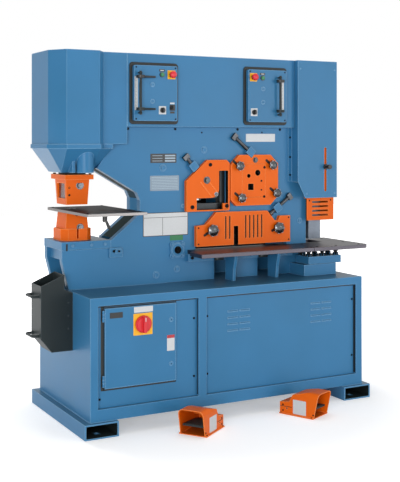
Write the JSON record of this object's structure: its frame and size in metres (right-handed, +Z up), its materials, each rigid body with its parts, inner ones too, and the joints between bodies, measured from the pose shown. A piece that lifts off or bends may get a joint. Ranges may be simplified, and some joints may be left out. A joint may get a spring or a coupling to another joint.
{
  "type": "hydraulic ironworker machine",
  "caption": "Hydraulic ironworker with an octagonal punch tower over a deep throat, guarded angle, rod and flat shears, a notcher, control stations, a base cabinet and foot pedals.",
  "frame": {"origin": "on the floor, at the centre of the rectangle of the four anchor holes in the fork tubes", "axes": "+X along the front to the right, +Y to the back, +Z up; the operator stands on the -Y side"},
  "size_m": [2.085, 1.097, 2.032],
  "materials": {
    "blue_enamel": "semi-gloss enamel, sprayed",
    "orange_enamel": "semi-gloss enamel, sprayed",
    "black_paint": "satin black paint",
    "liner_paint": "dark green-black paint",
    "grey_paint": "light grey powder coat",
    "ground_steel": "ground steel plate",
    "tool_steel": "hardened tool steel",
    "rubber_trim": "black edge trim",
    "black_plastic": "moulded black plastic",
    "red_plastic": "moulded red plastic",
    "green_plastic": "moulded green plastic",
    "clear_plastic": "clear polycarbonate",
    "knob_chrome": "polished knob"
  },
  "bodies": {
    "machine": {"base_cabinet": "blue_enamel", "fork_tubes": "blue_enamel", "enclosure_panel": "blue_enamel", "louvre_panel": "blue_enamel", "front_plate": "blue_enamel", "back_plate": "blue_enamel", "bolster": "blue_enamel", "ram_housing": "blue_enamel", "tower_cover": "blue_enamel", "upper_cover": "blue_enamel", "notcher_cover": "blue_enamel", "station_panels": "blue_enamel", "hold_down_blocks": "blue_enamel", "table_supports": "blue_enamel", "notcher_bed": "blue_enamel", "pivot_pin": "blue_enamel", "stripper": "orange_enamel", "die_holder": "orange_enamel", "angle_guard": "orange_enamel", "rod_guard": "orange_enamel", "flat_guard": "orange_enamel", "notcher_guard": "orange_enamel", "pedal_shells": "orange_enamel", "stroke_rods": "black_paint", "hydraulic_unit": "black_paint", "slug_bin": "black_paint", "frame_core": "liner_paint", "electrical_box": "grey_paint", "cylinders": "ground_steel", "punch_table": "ground_steel", "shear_table": "ground_steel", "notcher_table": "ground_steel", "die": "tool_steel", "fixed_blades": "tool_steel", "station_trims": "rubber_trim", "stripper_window": "clear_plastic", "guard_knobs": "knob_chrome"},
    "ram": {"punch_ram": "ground_steel", "punch": "tool_steel"},
    "beam": {"shear_beam": "ground_steel", "moving_blades": "tool_steel", "notcher_punch": "tool_steel"},
    "electrical_door": {"electrical_door": "blue_enamel"},
    "disconnect_knob": {"disconnect_knob": "red_plastic"},
    "estop_left": {"estop_left": "red_plastic"},
    "estop_right": {"estop_right": "red_plastic"},
    "start_left": {"start_left": "green_plastic"},
    "start_right": {"start_right": "green_plastic"},
    "selector_left": {"selector_left": "black_plastic"},
    "selector_right": {"selector_right": "black_plastic"},
    "key_switch": {"key_switch": "black_plastic"},
    "treadle_left": {"treadle_left": "black_paint"},
    "treadle_right": {"treadle_right": "black_paint"},
    "angle_screw": {"angle_screw": "black_paint"},
    "rod_screw": {"rod_screw": "black_paint"},
    "flat_screw": {"flat_screw": "black_paint"},
    "table_lever": {"table_lever": "black_plastic"},
    "notch_stop": {"notch_stop": "black_plastic"},
    "stroke_stop_left": {"stroke_stop_left": "black_plastic"},
    "stroke_stop_right": {"stroke_stop_right": "black_plastic"}
  },
  "joints": [
    {"name": "punch_stroke", "type": "slide", "parent": "machine", "child": "ram", "axis": [0, 0, -1], "range_m": [0, 0.055]},
    {"name": "beam_stroke", "type": "hinge", "parent": "machine", "child": "beam", "pos_m": [-0.212, 0.065, 0.911], "axis": [0, 1, 0], "range_deg": [0, 3.6]},
    {"name": "door_hinge", "type": "hinge", "parent": "machine", "child": "electrical_door", "pos_m": [-0.796, -0.382, 0.454], "axis": [0, 0, -1], "range_deg": [0, 105]},
    {"name": "disconnect_turn", "type": "hinge", "parent": "electrical_door", "child": "disconnect_knob", "pos_m": [-0.571, -0.387, 0.566], "axis": [0, -1, 0], "range_deg": [0, 90]},
    {"name": "estop_left_press", "type": "slide", "parent": "machine", "child": "estop_left", "axis": [0, 1, 0], "range_m": [0, 0.006], "stiffness_N_per_m": 4000},
    {"name": "estop_right_press", "type": "slide", "parent": "machine", "child": "estop_right", "axis": [0, 1, 0], "range_m": [0, 0.006], "stiffness_N_per_m": 4000},
    {"name": "start_left_press", "type": "slide", "parent": "machine", "child": "start_left", "axis": [0, 1, 0], "range_m": [0, 0.004], "stiffness_N_per_m": 2500},
    {"name": "start_right_press", "type": "slide", "parent": "machine", "child": "start_right", "axis": [0, 1, 0], "range_m": [0, 0.004], "stiffness_N_per_m": 2500},
    {"name": "selector_left_turn", "type": "hinge", "parent": "machine", "child": "selector_left", "pos_m": [-0.337, -0.144, 1.713], "axis": [0, -1, 0], "range_deg": [-45, 45]},
    {"name": "selector_right_turn", "type": "hinge", "parent": "machine", "child": "selector_right", "pos_m": [0.27, -0.144, 1.71], "axis": [0, -1, 0], "range_deg": [-45, 45]},
    {"name": "key_turn", "type": "hinge", "parent": "machine", "child": "key_switch", "pos_m": [-0.275, -0.144, 1.728], "axis": [0, -1, 0], "range_deg": [0, 90]},
    {"name": "treadle_left_press", "type": "hinge", "parent": "machine", "child": "treadle_left", "pos_m": [-0.24053, -0.49535, 0.034], "axis": [0.5779, -0.8161, 0], "range_deg": [0, 10], "stiffness_Nm_per_rad": 12, "springref_deg": -20.05},
    {"name": "treadle_right_press", "type": "hinge", "parent": "machine", "child": "treadle_right", "pos_m": [0.33686, -0.46429, 0.034], "axis": [0.9078, 0.4195, 0], "range_deg": [0, 10], "stiffness_Nm_per_rad": 12, "springref_deg": -20.05},
    {"name": "angle_screw_feed", "type": "slide", "parent": "machine", "child": "angle_screw", "axis": [-0.6561, 0, 0.7547], "range_m": [0, 0.02]},
    {"name": "rod_screw_feed", "type": "slide", "parent": "machine", "child": "rod_screw", "axis": [-0.766, 0, 0.6428], "range_m": [0, 0.02]},
    {"name": "flat_screw_feed", "type": "slide", "parent": "machine", "child": "flat_screw", "axis": [0.809, 0, 0.5878], "range_m": [0, 0.018]},
    {"name": "lever_turn", "type": "hinge", "parent": "machine", "child": "table_lever", "pos_m": [-0.76, -0.315, 1.125], "axis": [0, 0, 1], "range_deg": [-60, 60]},
    {"name": "notch_stop_slide", "type": "slide", "parent": "machine", "child": "notch_stop", "axis": [0, 0, 1], "range_m": [-0.14, 0.108]},
    {"name": "stroke_stop_left_slide", "type": "slide", "parent": "machine", "child": "stroke_stop_left", "axis": [0, 0, 1], "range_m": [-0.16, 0.005]},
    {"name": "stroke_stop_right_slide", "type": "slide", "parent": "machine", "child": "stroke_stop_right", "axis": [0, 0, 1], "range_m": [-0.16, 0.005]}
  ]
}
